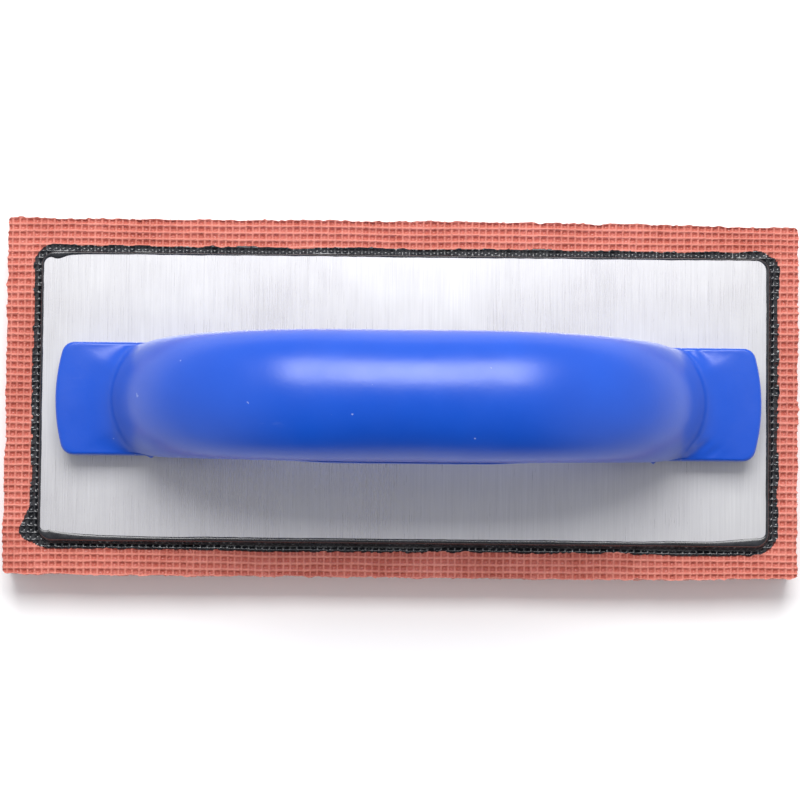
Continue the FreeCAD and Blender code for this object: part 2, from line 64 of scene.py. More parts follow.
# Cut sides of the pad
RAGGED_REACH = 1.6  # how far in from a side its raggedness fades out
END_TAPER = 0.8  # the pad is cut this much narrower on each side of its +X end
TAPER_REACH = 6.0  # how far in from a long side that is felt
SIDE_ROW = 0.64  # height of a row of faces
SIDE_TOP = 1.1  # the first row starts this far below the pad's top
SIDE_BOTTOM = 0.4
BASE_INSET = 0.35  # the working face is this much smaller at each end
PAD_CORNER = 1.4

# Cement. Values in fours are for the -X, +X, +Y and -Y sides of the plate.
COAT_SKIN = 0.08  # over the ribs
COAT_PAST_PLATE = (3.15, 3.75, 2.75, 3.2)
COAT_INSET = 2.3  # how far in from the pad's sides the film ends, out of sight
COAT_FADE = 0.3  # the width of its uneven edge
COAT_BURIED = 0.3  # how deep it lies in the pad where it doesn't show
CELL_UNFILLED = 0.86  # the share of a cell's depth that the film leaves
COAT_UNDER_BEAD = 0.2
BEAD_COVER = 0.5  # how far past the plate's edge the film starts to even out to that
COAT_UNDER_PLATE = 0.3
PLATE_COVER = 1.2  # how far in from the plate's edge the film is flat
COAT_THICK = 0.7  # at its rim
SPILL_PLACE = (5.8, 12.5)  # in from the pad's -X and -Y sides
SPILL_EXTRA = 2.9
SPILL_REACH = 4.2
BEAD_RISE = 0.26  # over the plate's top face
BEAD_LAP = (0.45, 0.5, 0.35, 0.75)
BEAD_FOOT = (0.8, 1.35, 0.75, 1.5)
BEAD_STEP = 0.45  # between points along the bead
BEAD_LOW = 0.1  # height of its outer edge over the pad
BEAD_SINK = 0.3  # how far its underside lies below that

# Handle, about its centre on the plate's top face, in the CAD's sizes
LEG_REACH = 76.3
LEG_LEAN = math.radians(25)
GRIP_HIGH = 43.0
BEND_RADIUS = 46.3
SEAM_LIFT = 1.0
SWELL_REACH = 13.0
WALL = 3.0
FOOT_HIGH = 9.6
FOOT_HALF_WIDE = 16.0
FOOT_REACH = 23.7  # beyond the leg's centre, outwards
FOOT_TOE = 19.3  # beyond the leg's centre, inwards
FOOT_END_RADIUS = 52.0
FOOT_OUTER_CORNER = 3.6
FOOT_INNER_CORNER = 2.0

# The foot's rim and its hollow flank, which are shaped differently from the CAD's
FOOT_SIDE_SHARES = (0, 0.03, 0.35, 0.7, 1)  # heights of the rows below the rim
FOOT_RIM = 1.1
RIM_SHARE = 0.3  # the rim is no wider than this share of the room beside the leg
RIM_ANGLES = (0.35, 0.7, 1.05, 1.4)
FLANK_MIDDLE = 16.5  # how far up the handle's line the foot's hollow flank runs, beside the leg
FLANK_SWING = 4.5  # how much less at the outer end, and more at the toe
FOOT_TOP = 24.0  # where the rows of the foot end, and those of the bar begin
FLANK_FLAT = 0.70  # how long the flank stays flat on the foot, as a share of its width
FLANK_STEEP = 0.88  # how long it stays steep at its top, as a share of its rise
BAR_ROWS = 141

# The seam between the two shells
SEAM_STEP = 0.42  # how far the lower shell stands out past the upper one, on the -Y side
STEP_START = 4.0  # how far to the -Y side it starts to show
STEP_FADE = 9.0
STEP_PAST_FLAT = 8.0  # how far past the straight middle of the grip it ends
STEP_END_FADE = 14.0
SEAM_GROOVE = 0.16
SEAM_EDGE = math.radians(0.9)  # between the last points beside the seam
SECTION_POINTS = 117
NIB_LONG = 1.1
NIB_SHAPE = (0.8, 1.0, 0.5)  # height of a nib, from the seam outwards


def millimetres(corner):
    """A corner of a box, in millimetres."""
    return np.array(corner) / MM


PAD_LOW, PAD_HIGH = (millimetres(c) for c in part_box("rubber_pad"))
PLATE_LOW, PLATE_HIGH = (millimetres(c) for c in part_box("backing_plate"))
HANDLE_LOW, HANDLE_HIGH = (millimetres(c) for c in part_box("handle_upper_shell"))
PAD_HALF = (PAD_HIGH - PAD_LOW)[:2] / 2
PAD_TOP = PAD_HIGH[2]
PLATE_MIDDLE = (PLATE_HIGH + PLATE_LOW)[:2] / 2
PLATE_HALF = (PLATE_HIGH - PLATE_LOW)[:2] / 2
PLATE_TOP = PLATE_HIGH[2]
PLATE_CORNER = 3.5
HANDLE_MIDDLE = (HANDLE_HIGH + HANDLE_LOW)[:2] / 2


# ---- repeatable noise ----


def lattice(ix, iy, seed):
    """A repeatable value from -1 to 1 for each whole-numbered point."""
    n = ix.astype(np.int64) * 374761393 + iy.astype(np.int64) * 668265263 + seed * 974634777
    n = n & 0xFFFFFFFF
    n = ((n ^ (n >> 13)) * 1274126177) & 0xFFFFFFFF
    return ((n ^ (n >> 16)) & 0xFFFF) / 32767.5 - 1


def ease(t):
    """From 0 to 1 with no kink at either end."""
    t = np.clip(t, 0, 1)
    return t * t * (3 - 2 * t)


def noise(x, y, seed):
    """Smooth noise from -1 to 1 that changes over a distance of about 1."""
    x, y = np.broadcast_arrays(np.asarray(x, float), np.asarray(y, float))
    ix, iy = np.floor(x), np.floor(y)
    fx, fy = ease(x - ix), ease(y - iy)
    low = lattice(ix, iy, seed) * (1 - fx) + lattice(ix + 1, iy, seed) * fx
    high = lattice(ix, iy + 1, seed) * (1 - fx) + lattice(ix + 1, iy + 1, seed) * fx
    return low * (1 - fy) + high * fy


def bump(distance, width):
    """A bell curve of height 1."""
    return np.exp(-((distance / width) ** 2))


# ---- mesh helpers ----


def grid_faces(rows, columns, start=0):
    """Faces over a grid of rows by columns points, anticlockwise where rows run up and columns run right."""
    r, c = np.meshgrid(np.arange(rows - 1), np.arange(columns - 1), indexing="ij")
    a = start + r * columns + c
    return np.stack([a, a + 1, a + columns + 1, a + columns], -1).reshape(-1, 4)


def border(rows, columns, r0=0, c0=0, r1=None, c1=None):
    """Row and column of each point round part of a grid, anticlockwise."""
    r1 = rows - 1 if r1 is None else r1
    c1 = columns - 1 if c1 is None else c1
    bottom = [(r0, c) for c in range(c0, c1)]
    right = [(r, c1) for r in range(r0, r1)]
    top = [(r1, c) for c in range(c1, c0, -1)]
    left = [(r, c0) for r in range(r1, r0, -1)]
    return np.array(bottom + right + top + left)


def band(lower, upper):
    """Faces between two loops. The upper loop has as many points as the lower one, or twice as many."""
    n = len(lower)
    following = np.roll(lower, -1)
    if len(upper) == n:
        return np.stack([lower, following, np.roll(upper, -1), upper], -1).tolist()
    first, middle = upper[0::2], upper[1::2]
    return np.stack([lower, following, np.roll(first, -1), middle, first], -1).tolist()


def make_mesh(name, points, faces, smooth_angle, material, pit=None):
    """A piece of the object, from points in millimetres. Points that no face uses are left out."""
    points = np.asarray(points, float)
    used = np.unique(np.concatenate([np.asarray(f).ravel() for f in group_by_size(faces)]))
    place = np.full(len(points), -1)
    place[used] = np.arange(len(used))
    mesh = bpy.data.meshes.new(name)
    mesh.from_pydata((points[used] * MM).tolist(), [], [[int(place[i]) for i in f] for f in faces])
    mesh.polygons.foreach_set("use_smooth", np.ones(len(mesh.polygons), bool))
    mesh.set_sharp_from_angle(angle=math.radians(smooth_angle))
    if pit is not None:
        layer = mesh.attributes.new("pit", "FLOAT", "POINT")
        layer.data.foreach_set("value", np.asarray(pit, np.float32)[used])
    mesh.materials.append(material)
    mesh.update()
    piece = bpy.data.objects.new(name, mesh)
    bpy.context.scene.collection.objects.link(piece)
    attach(piece, "root")
    return piece


def group_by_size(faces):
    """The faces in groups of one size, so that each group is an array."""
    groups = {}
    for f in faces:
        groups.setdefault(len(f), []).append(f)
    return groups.values()


# ---- materials ----


def new_material(name, **constants):
    """A material with one Principled shader, whose sockets are named with underscores for spaces."""
    material = bpy.data.materials.new(name)
    material.use_nodes = True
    shader = material.node_tree.nodes["Principled BSDF"]
    for socket, value in constants.items():
        shader.inputs[socket.replace("_", " ")].default_value = value
    return material, material.node_tree, shader


def add_node(tree, kind, inputs=None, **properties):
    """A node with its properties set, and each input set to a value or joined to an output."""
    made = tree.nodes.new(kind)
    for key, value in properties.items():
        setattr(made, key, value)
    for key, value in (inputs or {}).items():
        if isinstance(value, bpy.types.NodeSocket):
            tree.links.new(value, made.inputs[key])
        else:
            made.inputs[key].default_value = value
    return made


def stretched(tree, scale):
    """The object's own coordinates, scaled by axis."""
    place = add_node(tree, "ShaderNodeTexCoord")
    mapping = add_node(tree, "ShaderNodeMapping", {"Vector": place.outputs["Object"], "Scale": scale})
    return mapping.outputs["Vector"]


def noise_texture(tree, scale, detail=4.0, roughness=0.55, axes=(1, 1, 1)):
    """Noise whose size is set in features to the metre."""
    inputs = {
        "Vector": stretched(tree, axes),
        "Scale": scale,
        "Detail": detail,
        "Roughness": roughness,
    }
    return add_node(tree, "ShaderNodeTexNoise", inputs).outputs["Fac"]


def ramp(tree, factor, *stops):
    """A colour ramp. Each stop is a position and a grey level or a colour."""
    made = add_node(tree, "ShaderNodeValToRGB", {"Fac": factor})
    elements = made.color_ramp.elements
    while len(elements) < len(stops):
        elements.new(0.5)
    for element, (position, value) in zip(elements, stops):
        colour = value if isinstance(value, tuple) else (value, value, value)
        element.position = position
        element.color = (*colour, 1)
    return made.outputs["Color"]


def mix(tree, factor, a, b, blend="MIX"):
    """Two colours mixed by a factor."""
    made = add_node(tree, "ShaderNodeMix", data_type="RGBA", blend_type=blend)
    for socket, value in (("Factor_Float", factor), ("A_Color", a), ("B_Color", b)):
        target = next(i for i in made.inputs if i.identifier == socket)
        if isinstance(value, bpy.types.NodeSocket):
            tree.links.new(value, target)
        else:
            target.default_value = (*value, 1) if isinstance(value, tuple) else value
    return next(o for o in made.outputs if o.identifier == "Result_Color")


def relief(tree, shader, *layers):
    """Bump from layers of (height, depth in metres), one on another."""
    normal = None
    for height, depth in layers:
        inputs = {"Height": height, "Distance": depth, "Strength": 1.0}
        if normal is not None:
            inputs["Normal"] = normal
        normal = add_node(tree, "ShaderNodeBump", inputs).outputs["Normal"]
    tree.links.new(normal, shader.inputs["Normal"])


def attribute(tree, name):
    """A value that the mesh holds at each point."""
    return add_node(tree, "ShaderNodeAttribute", attribute_name=name).outputs["Fac"]


def sponge_rubber():
    """Salmon-red rubber with open pores, a little glossy in the cells. The cells are coloured darker than the
    ribs: painted shade in the recesses.
    """
    material, tree, shader = new_material("sponge_rubber", Specular_IOR_Level=0.42)
    deep = attribute(tree, "pit")
    patches = noise_texture(tree, 60, 3)
    grains = noise_texture(tree, 1500, 5, 0.7)
    # The rib colour is the rubber as lit. The darker cell colour, mixed in by depth in a cell, is painted
    # shade.
    ribs = ramp(tree, patches, (0.3, (0.64, 0.215, 0.158)), (0.72, (0.73, 0.272, 0.215)))
    cells = ramp(tree, patches, (0.3, (0.43, 0.098, 0.068)), (0.72, (0.54, 0.144, 0.105)))
    colour = mix(tree, ramp(tree, deep, (0.05, 0.0), (0.75, 1.0)), ribs, cells)
    speckle = ramp(tree, grains, (0.35, (0.72, 0.66, 0.66)), (0.62, (1.12, 1.12, 1.12)))
    colour = mix(tree, 0.55, colour, speckle, "MULTIPLY")
    tree.links.new(colour, shader.inputs["Base Color"])
    gloss = ramp(tree, noise_texture(tree, 700, 2), (0.35, 0.16), (0.7, 0.46))
    dull = ramp(tree, noise_texture(tree, 900, 2), (0.35, 0.55), (0.7, 0.8))
    rough = mix(tree, ramp(tree, deep, (0.45, 0.0), (0.9, 1.0)), dull, gloss)
    tree.links.new(rough, shader.inputs["Roughness"])
    pores = add_node(
        tree, "ShaderNodeTexVoronoi", {"Vector": stretched(tree, (1, 1, 1)), "Scale": 1150.0}
    )
    hollows = ramp(tree, pores.outputs["Distance"], (0.10, 0.0), (0.45, 1.0))
    relief(tree, shader, (hollows, 0.00012), (grains, 0.00016))
    return material


def black_cement(name, roughness, fine):
    """Black contact cement. The brushed coat is lumpier than the smoothed bead."""
    material, tree, shader = new_material(
        name, Specular_IOR_Level=0.432, Coat_Weight=0.35, Coat_Roughness=0.12
    )
    patches = noise_texture(tree, 140, 4)
    colour = ramp(tree, patches, (0.3, (0.006, 0.007, 0.009)), (0.7, (0.020, 0.021, 0.026)))
    tree.links.new(colour, shader.inputs["Base Color"])
    shine = ramp(tree, noise_texture(tree, 420, 4), (0.3, roughness * 0.7), (0.7, roughness * 1.5))
    tree.links.new(shine, shader.inputs["Roughness"])
    relief(tree, shader, (noise_texture(tree, 260, 3), fine * 2), (noise_texture(tree, 1700, 3), fine))
    return material


def aluminium_sheet():
    """Aluminium with a fine grain across the plate and faint handling marks."""
    material, tree, shader = new_material("aluminium_sheet", Metallic=0.5)
    grain = noise_texture(tree, 1000, 4, 0.6, (2.6, 0.05, 0.3))
    fine_grain = noise_texture(tree, 2600, 3, 0.6, (1.6, 0.03, 0.3))
    haze = noise_texture(tree, 26, 4)
    colour = ramp(tree, grain, (0.3, (0.585, 0.583, 0.592)), (0.7, (0.665, 0.663, 0.67)))
    smear = ramp(tree, haze, (0.35, (0.94, 0.93, 0.945)), (0.7, (1.0, 1.0, 1.0)))
    tree.links.new(mix(tree, 1.0, colour, smear, "MULTIPLY"), shader.inputs["Base Color"])
    rough = ramp(tree, mix(tree, 0.5, fine_grain, haze), (0.3, 0.24), (0.7, 0.34))
    tree.links.new(rough, shader.inputs["Roughness"])
    relief(tree, shader, (grain, 0.000009), (fine_grain, 0.000006))
    return material


def blue_plastic():
    """Satin blue polypropylene with a faint orange peel, pale scuffs and specks of dust."""
    material, tree, shader = new_material(
        "blue_plastic",
        Specular_IOR_Level=0.5,
        Sheen_Weight=0.26,
        Sheen_Roughness=0.27,
        Sheen_Tint=(0.85, 0.87, 1.0, 1),
    )
    cloud = noise_texture(tree, 40, 4)
    base = ramp(tree, cloud, (0.3, (0.001, 0.059, 0.44)), (0.7, (0.002, 0.069, 0.49)))
    dust = ramp(tree, noise_texture(tree, 420, 2, 0.5), (0.765, 0.0), (0.785, 0.4))
    scuffs = ramp(tree, noise_texture(tree, 130, 6, 0.7, (0.25, 1.0, 1.0)), (0.66, 0.0), (0.85, 0.22))
    worn = mix(tree, scuffs, base, (0.20, 0.28, 0.62))
    tree.links.new(mix(tree, dust, worn, (0.50, 0.56, 0.78)), shader.inputs["Base Color"])
    rough = ramp(tree, noise_texture(tree, 90, 5), (0.3, 0.28), (0.7, 0.36))
    tree.links.new(rough, shader.inputs["Roughness"])
    relief(tree, shader, (noise_texture(tree, 900, 2), 0.000014), (noise_texture(tree, 110, 3), 0.00004))
    return material


def zinc_steel():
    """Bright zinc plate with faint stains."""
    material, tree, shader = new_material("zinc_steel", Metallic=1.0)
    stain = noise_texture(tree, 900, 4)
    colour = ramp(tree, stain, (0.3, (0.52, 0.51, 0.47)), (0.7, (0.74, 0.74, 0.72)))
    tree.links.new(colour, shader.inputs["Base Color"])
    tree.links.new(ramp(tree, stain, (0.3, 0.42), (0.7, 0.24)), shader.inputs["Roughness"])
    relief(tree, shader, (noise_texture(tree, 3000, 3), 0.00001))
    return material


# ---- the pad and its moulded pattern ----


def pattern_lines(low, high, shares):
    """Grid lines that the ribs and cells lie on. Their number lets the grid be halved twice."""
    steps = range(math.floor(low / CELL) - 1, math.ceil(high / CELL) + 1)
    lines = [(k + share) * CELL for k in steps for share in shares]
    grid = np.array([low] + [v for v in lines if low + 0.1 < v < high - 0.1] + [high])
    while (len(grid) - 1) % 4:
        widest = int(np.argmax(np.diff(grid)))
        grid = np.insert(grid, widest + 1, (grid[widest] + grid[widest + 1]) / 2)
    return grid


def rib(distance, crest, foot):
    """1 on a rib's crest and 0 from its foot on, at a distance in cells from its middle."""
    return ease((foot - distance) / (foot - crest))


def pattern_depth(x, y):
    """How far the pattern lies below the tops of its ribs."""
    u, v = x / CELL, y / CELL
    column, row = abs(u - np.round(u)), abs(v - np.round(v))
    cross = rib(column, *CROSS_RIB) * (1 - CROSS_RIB_DROP)
    along = rib(row, *LONG_RIB)
    cell = lattice(np.floor(u), np.floor(v), 5)
    bowl = 1 + 0.30 * np.maximum((column - 0.22) * (row - 0.24), 0) / 0.073
    depth = CELL_DEPTH * (1 + 0.20 * cell) * (1 - np.maximum(cross, along)) * bowl
    worn = 0.06 * noise(x / 1.3, y / 1.3, 6) + 0.07 * noise(x / 7, y / 7, 7)
    return np.maximum(depth + PATTERN_DROP + worn, 0)


def wobble(x, y):
    """How far the moulded rows stray from straight lines."""
    dx = PATTERN_WOBBLE * (noise(x / 17, y / 17, 11) + 0.35 * noise(x / 4, y / 4, 12))
    dy = PATTERN_WOBBLE * (noise(x / 19, y / 19, 13) + 0.35 * noise(x / 4, y / 4, 14))
    return dx, dy


def ragged(x, y, z):
    """How far the knife's cut and the torn crumbs move a point near a side, along X and along Y."""
    moves = []
    for across, along, half, seed in ((x, y, PAD_HALF[0], 21), (y, x, PAD_HALF[1], 31)):
        side = np.where(across < 0, -1.0, 1.0)
        near = np.clip(1 - (half - abs(across)) / RAGGED_REACH, 0, 1) ** 2
        shift = along + 300 * side
        cut = 0.18 * noise(shift / 22, z / 30, seed) + 0.26 * noise(shift / 3.4, z / 5, seed + 1)
        crumbs = 0.40 * np.maximum(noise(shift / 1.0, z / 0.9, seed + 2) - 0.25, -0.3)
        pits = -0.60 * np.maximum(noise(shift / 1.6, z / 1.4, seed + 3) - 0.35, 0)
        moves.append(side * near * (cut + crumbs + pits - 0.12))
    return moves


def taper(x, y):
    """How far the narrower cut at the +X end moves a point near a long side, along Y."""
    share = ease((x - PAD_HALF[0] / 2) / (PAD_HALF[0] / 2))
    return -np.sign(y) * END_TAPER * share * np.clip(1 - (PAD_HALF[1] - abs(y)) / TAPER_REACH, 0, 1)


def round_corner(x, y, half, radius):
    """Moves the points near a sharp corner of a rectangle so that its corner is round."""
    u = np.clip((abs(x) - (half[0] - radius)) / radius, 0, 1)
    v = np.clip((abs(y) - (half[1] - radius)) / radius, 0, 1)
    new_u = u * np.sqrt(1 - v * v / 2)
    new_v = v * np.sqrt(1 - u * u / 2)
    return x + np.sign(x) * (new_u - u) * radius, y + np.sign(y) * (new_v - v) * radius


def pad_points(x, y, z):
    """Points of the pad in their places, from places on a plain block."""
    dx, dy = wobble(x, y)
    edge_x = ease((PAD_HALF[0] - abs(x)) / WOBBLE_FADE)
    edge_y = ease((PAD_HALF[1] - abs(y)) / WOBBLE_FADE)
    rag_x, rag_y = ragged(x, y, z)
    round_x, round_y = round_corner(x, y, PAD_HALF, PAD_CORNER)
    moved_y = round_y + dy * edge_y + rag_y + taper(x, y)
    return np.stack([round_x + dx * edge_x + rag_x, moved_y, z], -1)


def pad_top(xs, ys):
    """The patterned face: its points, how deep in a cell each one lies, its faces, and the loop round it."""
    x, y = np.meshgrid(xs, ys)
    depth = pattern_depth(x, y)
    window = window_of(xs, ys, PLATE_HALF - PAD_UNDER_PLATE)
    depth[inside_window(depth.shape, window)] = HIDDEN_DEPTH
    faces, loop = ring_faces(depth.shape, window)
    pits = np.clip(depth / (CELL_DEPTH * 1.2), 0, 1).ravel()
    return pad_points(x, y, PAD_TOP - depth).reshape(-1, 3), pits, faces, loop


def pad_sides(xs, ys, loop, start):
    """The cut sides, in rows down from a loop. Start is the number of points already there."""
    rim = border(len(ys), len(xs))
    points, pits, faces = [], [], []
    for z in np.arange(PAD_TOP - SIDE_TOP, SIDE_BOTTOM, -SIDE_ROW):
        side = pad_points(xs[rim[:, 1]], ys[rim[:, 0]], np.full(len(rim), z))
        lower = start + np.arange(len(rim))
        faces += band(lower, loop)
        points.append(side)
        pits.append(0.35 + 0.35 * noise(side[:, 0] / 1.4 + side[:, 1] / 1.4, side[:, 2] / 1.4, 41))
        loop = lower
        start += len(rim)
    return np.concatenate(points), np.concatenate(pits), faces, loop


def pad_base(xs, ys, loop, start):
    """The working face, with faint dimples, and the faces that join it to the loop above."""
    x, y = np.meshgrid(xs, ys)
    dimples = 0.22 * np.maximum(noise(x / 2.1, y / 2.1, 43) - 0.1, 0)
    base = pad_points(x, y, dimples)
    base[..., :2] *= 1 - BASE_INSET / PAD_HALF.max()
    rows, columns = x.shape
    rim = border(rows, columns)
    faces = band(start + rim[:, 0] * columns + rim[:, 1], loop)
    faces += grid_faces(rows, columns, start)[:, ::-1].tolist()
    return base.reshape(-1, 3), 0.3 + 0.3 * noise(x / 3, y / 3, 44).ravel(), faces


def make_pad(material):
    """One closed mesh: the patterned border of the upper face, the cut sides and the working face."""
    xs = pattern_lines(-PAD_HALF[0], PAD_HALF[0], X_LINES)
    ys = pattern_lines(-PAD_HALF[1], PAD_HALF[1], Y_LINES)
    top, top_pits, faces, loop = pad_top(xs, ys)
    side, side_pits, side_faces, loop = pad_sides(xs[::2], ys[::2], loop, len(top))
    base, base_pits, base_faces = pad_base(xs[::4], ys[::4], loop, len(top) + len(side))
    faces += side_faces + base_faces
    points = np.concatenate([top, side, base])
    pits = np.concatenate([top_pits, side_pits, base_pits])
    pad = make_mesh("sponge_pad", points, faces, 55, material, pits)
    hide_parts("rubber_pad")


def window_of(xs, ys, half):
    """Rows and columns round the middle of a grid that lie under the plate."""
    columns = np.flatnonzero(abs(xs - PLATE_MIDDLE[0]) < half[0])
    rows = np.flatnonzero(abs(ys - PLATE_MIDDLE[1]) < half[1])
    return rows[0], columns[0], rows[-1], columns[-1]


def inside_window(shape, window):
    """Which points of a grid lie in its window or on its edge."""
    r0, c0, r1, c1 = window
    hidden = np.zeros(shape, bool)
    hidden[r0 : r1 + 1, c0 : c1 + 1] = True
    return hidden


def ring_faces(shape, window):
    """Faces of a grid round a window, the window's own single face, and the loop round the outside."""
    rows, columns = shape
    r0, c0, r1, c1 = window
    quads = grid_faces(rows, columns).reshape(rows - 1, columns - 1, 4)
    kept = np.ones((rows - 1, columns - 1), bool)
    kept[r0:r1, c0:c1] = False
    inner = border(rows, columns, r0, c0, r1, c1)
    outer = border(rows, columns)
    faces = quads[kept].tolist()
    faces.append((inner[:, 0] * columns + inner[:, 1]).tolist())
    return faces, outer[:, 0] * columns + outer[:, 1]


# ---- cement ----


def past_plate(x, y):
    """Distance outwards from the plate's edge."""
    qx = abs(x - PLATE_MIDDLE[0]) - (PLATE_HALF[0] - PLATE_CORNER)
    qy = abs(y - PLATE_MIDDLE[1]) - (PLATE_HALF[1] - PLATE_CORNER)
    outside = np.hypot(np.maximum(qx, 0), np.maximum(qy, 0))
    return outside + np.minimum(np.maximum(qx, qy), 0) - PLATE_CORNER


def by_side(x, y, left, right, back, front):
    """A value for each side of the plate, blended round its corners."""
    dx = x - PLATE_MIDDLE[0]
    dy = y - PLATE_MIDDLE[1]
    along_x = np.maximum(abs(dx) - (PLATE_HALF[0] - PLATE_CORNER), 1e-6) ** 2
    along_y = np.maximum(abs(dy) - (PLATE_HALF[1] - PLATE_CORNER), 1e-6) ** 2
    share = along_x / (along_x + along_y)
    return share * np.where(dx < 0, left, right) + (1 - share) * np.where(dy < 0, front, back)


def coat_limit(x, y):
    """How far past the plate the brushed cement reaches."""
    limit = by_side(x, y, *COAT_PAST_PLATE)
    limit = limit + 0.30 * noise(x / 13, y / 13, 51) + 0.26 * noise(x / 3.1, y / 3.1, 52)
    limit = limit + 0.22 * noise(x / 0.9, y / 0.9, 53)
    spill = np.hypot(x + PAD_HALF[0] - SPILL_PLACE[0], y + PAD_HALF[1] - SPILL_PLACE[1])
    return limit + SPILL_EXTRA * bump(spill, SPILL_REACH)


def coat_height(x, y, depth):
    """Height of the film over the pad's top."""
    distance = past_plate(x, y)
    covered = ease((coat_limit(x, y) - distance) / COAT_FADE)
    filled = COAT_SKIN - CELL_UNFILLED * depth + 0.09 * noise(x / 0.7, y / 0.7, 54)
    height = covered * filled + (1 - covered) * (-depth - COAT_BURIED)
    under_bead = ease((BEAD_COVER - distance) / BEAD_COVER)
    return (1 - under_bead) * height + under_bead * COAT_UNDER_BEAD


def make_coat(material):
    """The brushed film. It follows the cells, fills them a little, and ends in an uneven edge."""
    reach = PAD_HALF - COAT_INSET
    xs = pattern_lines(-reach[0], reach[0], X_LINES)
    ys = pattern_lines(-reach[1], reach[1], Y_LINES)
    x, y = np.meshgrid(xs, ys)
    depth = pattern_depth(x, y)
    height = coat_height(x, y, depth)
    window = window_of(xs, ys, PLATE_HALF - PLATE_COVER)
    height[inside_window(height.shape, window)] = COAT_UNDER_PLATE
    dx, dy = wobble(x, y)
    top = np.stack([x + dx, y + dy + taper(x, y), PAD_TOP + height], -1).reshape(-1, 3)
    faces, loop = ring_faces(height.shape, window)
    under = top[loop] - (0, 0, COAT_THICK)
    lower = len(top) + np.arange(len(loop))
    faces += band(lower, loop)
    faces.append(lower[::-1].tolist())
    points = np.concatenate([top, under])
    pits = np.concatenate([depth.ravel(), np.zeros(len(loop))])
    coat = make_mesh("brushed_cement", points, faces, 60, material, pits)
    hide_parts("adhesive_coat")


def plate_path(step):
    """Points round the plate's edge, anticlockwise, with the direction out of the plate at each."""
    points = []
    outwards = []
    straight = (PLATE_HALF - PLATE_CORNER) * 2
    quarter = PLATE_CORNER * math.pi / 2
    for turn in range(4):
        angle = turn * math.pi / 2
        along = np.array([math.cos(angle), math.sin(angle)])
        out = np.array([along[1], -along[0]])
        run = straight[turn % 2]
        depth = straight[(turn + 1) % 2] / 2
        for s in np.arange(0, run, step):
            points.append(PLATE_MIDDLE + along * (s - run / 2) + out * (depth + PLATE_CORNER))
            outwards.append(out)
        corner = PLATE_MIDDLE + along * run / 2 + out * depth
        for t in np.arange(0, 1, step / quarter):
            bend = t * math.pi / 2
            direction = out * math.cos(bend) + along * math.sin(bend)
            points.append(corner + direction * PLATE_CORNER)
            outwards.append(direction)
    return np.array(points), np.array(outwards)


def bead_lap(x, y):
    """How far the bead laps over the plate's rim: wide at the -Y side's ends, with a lump at one corner."""
    from_left = x - (PLATE_MIDDLE[0] - PLATE_HALF[0])
    from_right = PLATE_MIDDLE[0] + PLATE_HALF[0] - x
    lap = by_side(x, y, *BEAD_LAP)
    lap = lap + 0.12 * noise(x / 11, y / 11, 61) + 0.06 * noise(x / 2.4, y / 2.4, 62)
    lap = lap + by_side(x, y, 0, 0, 0, 1) * (2.4 * np.exp(-from_left / 9) + 1.9 * np.exp(-from_right / 9))
    lump = np.hypot(from_left - 4.4, y - PLATE_HALF[1])
    return lap + 1.1 * bump(lump, 2.4) + 0.5 * by_side(x, y, 0, 0, 1, 0) * np.exp(-from_left / 12)


def bead_profile(x, y):
    """Distance out from the plate's edge and height of each row of the bead, round its section."""
    lap = bead_lap(x, y)
    foot = by_side(x, y, *BEAD_FOOT)
    foot = foot + 0.12 * noise(x / 12, y / 12, 63) + 0.06 * noise(x / 2.7, y / 2.7, 64)
    rise = BEAD_RISE * (1 + 0.25 * noise(x / 9, y / 9, 65))
    low = PAD_TOP + BEAD_LOW
    rows = []
    for t in np.linspace(0, 1, 6)[:-1]:
        rows.append((-lap * (1 - t), PLATE_TOP + rise * math.sqrt(1 - (1 - t) ** 2)))
    for t in np.linspace(0, 1, 11):
        fall = 0.5 + 0.5 * math.cos(math.pi * t**1.15)
        rows.append((foot * t, low + (PLATE_TOP + rise - low) * fall))
    zero = np.zeros(len(x))
    rows.append((zero, zero + low - BEAD_SINK))
    rows.append((zero, zero + PLATE_TOP))
    return rows


def make_bead(material):
    """The smoothed bead: up from the coat, over the plate's rim, and down to a thin edge on its top."""
    points, outwards = plate_path(BEAD_STEP)
    x, y = (points + outwards * 0.01).T
    grid = [
        np.column_stack([points + outwards * np.asarray(out)[:, None], np.broadcast_to(z, x.shape)])
        for out, z in bead_profile(x, y)
    ]
    count = len(x)
    faces = []
    for k in range(len(grid)):
        here = k * count + np.arange(count)
        after = (k + 1) % len(grid) * count + np.arange(count)
        faces += band(after, here)
    bead = make_mesh("smoothed_bead", np.concatenate(grid), faces, 50, material)
    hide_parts("adhesive_bead")


# ---- handle ----


def through(knots, values, at):
    """A smooth curve through the values."""
    slopes = np.gradient(values, knots)
    k = np.clip(np.searchsorted(knots, at) - 1, 0, len(knots) - 2)
    width = knots[k + 1] - knots[k]
    t = (at - knots[k]) / width
    a = (1 + 2 * t) * (1 - t) ** 2 * values[k] + t * (1 - t) ** 2 * width * slopes[k]
    b = t * t * (3 - 2 * t) * values[k + 1] + t * t * (t - 1) * width * slopes[k + 1]
    return a + b


LEG_TOP_Z = GRIP_HIGH - BEND_RADIUS + BEND_RADIUS * math.sin(LEG_LEAN)
LEG_TOP_X = LEG_REACH - LEG_TOP_Z * math.tan(LEG_LEAN)
LEG_LENGTH = LEG_TOP_Z / math.cos(LEG_LEAN)
FLAT_HALF = LEG_TOP_X - BEND_RADIUS * math.cos(LEG_LEAN)
BEND_LENGTH = BEND_RADIUS * (math.pi / 2 - LEG_LEAN)
PATH_HALF = LEG_LENGTH + BEND_LENGTH + FLAT_HALF
HALF_KNOTS = [0, LEG_LENGTH / 2, LEG_LENGTH]
HALF_KNOTS += [LEG_LENGTH + BEND_LENGTH * share for share in (1 / 3, 2 / 3, 1)]
HALF_KNOTS += [PATH_HALF - SWELL_REACH, PATH_HALF]
HALF_WIDE = [16.0, 16.2, 16.6, 17.1, 17.5, 17.8, 17.9, 17.9]
